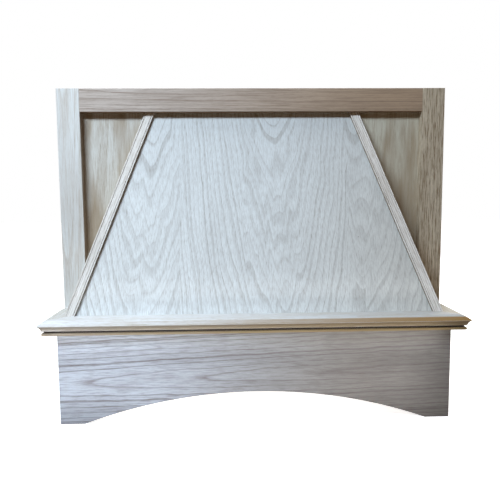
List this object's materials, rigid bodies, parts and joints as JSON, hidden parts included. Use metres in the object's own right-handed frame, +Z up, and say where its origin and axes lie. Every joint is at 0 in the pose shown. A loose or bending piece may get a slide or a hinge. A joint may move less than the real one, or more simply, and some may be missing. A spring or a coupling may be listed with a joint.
{
  "type": "range hood cover",
  "caption": "Unfinished oak wall hood cover: face frame, sloping panelled chimney, mitred ledge moulding and arched valance over an open base.",
  "frame": {"origin": "middle of the bounding box's underside, level with the feet of the valance", "axes": "+Z up, +Y towards the wall that it hangs on, +X to the right seen from the front"},
  "size_m": [0.788, 0.4302, 0.631],
  "materials": {
    "oak_solid": "planed and sanded, unfinished red oak",
    "oak_veneer_sheet": "sanded flat-cut red oak veneer, unfinished",
    "frame_timber": "planed timber, unfinished",
    "screw_steel": "zinc plated"
  },
  "bodies": {
    "root": {"arched_valance": "oak_solid", "front_ledge_moulding": "oak_solid", "left_band_side": "oak_solid", "left_edge_strip": "oak_solid", "left_ledge_moulding": "oak_solid", "left_stile": "oak_solid", "right_band_side": "oak_solid", "right_edge_strip": "oak_solid", "right_ledge_moulding": "oak_solid", "right_stile": "oak_solid", "top_rail": "oak_solid", "left_cheek": "oak_veneer_sheet", "left_infill_panel": "oak_veneer_sheet", "left_side_panel": "oak_veneer_sheet", "right_cheek": "oak_veneer_sheet", "right_infill_panel": "oak_veneer_sheet", "right_side_panel": "oak_veneer_sheet", "sloped_front_panel": "oak_veneer_sheet", "chimney_top_cleat": "frame_timber", "front_foot_cleat": "frame_timber", "front_ledge_cleat": "frame_timber", "front_liner_rail": "frame_timber", "left_corner_block": "frame_timber", "left_foot_cleat": "frame_timber", "left_infill_nailer": "frame_timber", "left_ledge_cleat": "frame_timber", "left_liner_rail": "frame_timber", "lower_hanging_rail": "frame_timber", "right_corner_block": "frame_timber", "right_foot_cleat": "frame_timber", "right_infill_nailer": "frame_timber", "right_ledge_cleat": "frame_timber", "right_liner_rail": "frame_timber", "upper_hanging_rail": "frame_timber", "ledge_screws": "screw_steel", "pocket_screws": "screw_steel"}
  },
  "joints": []
}
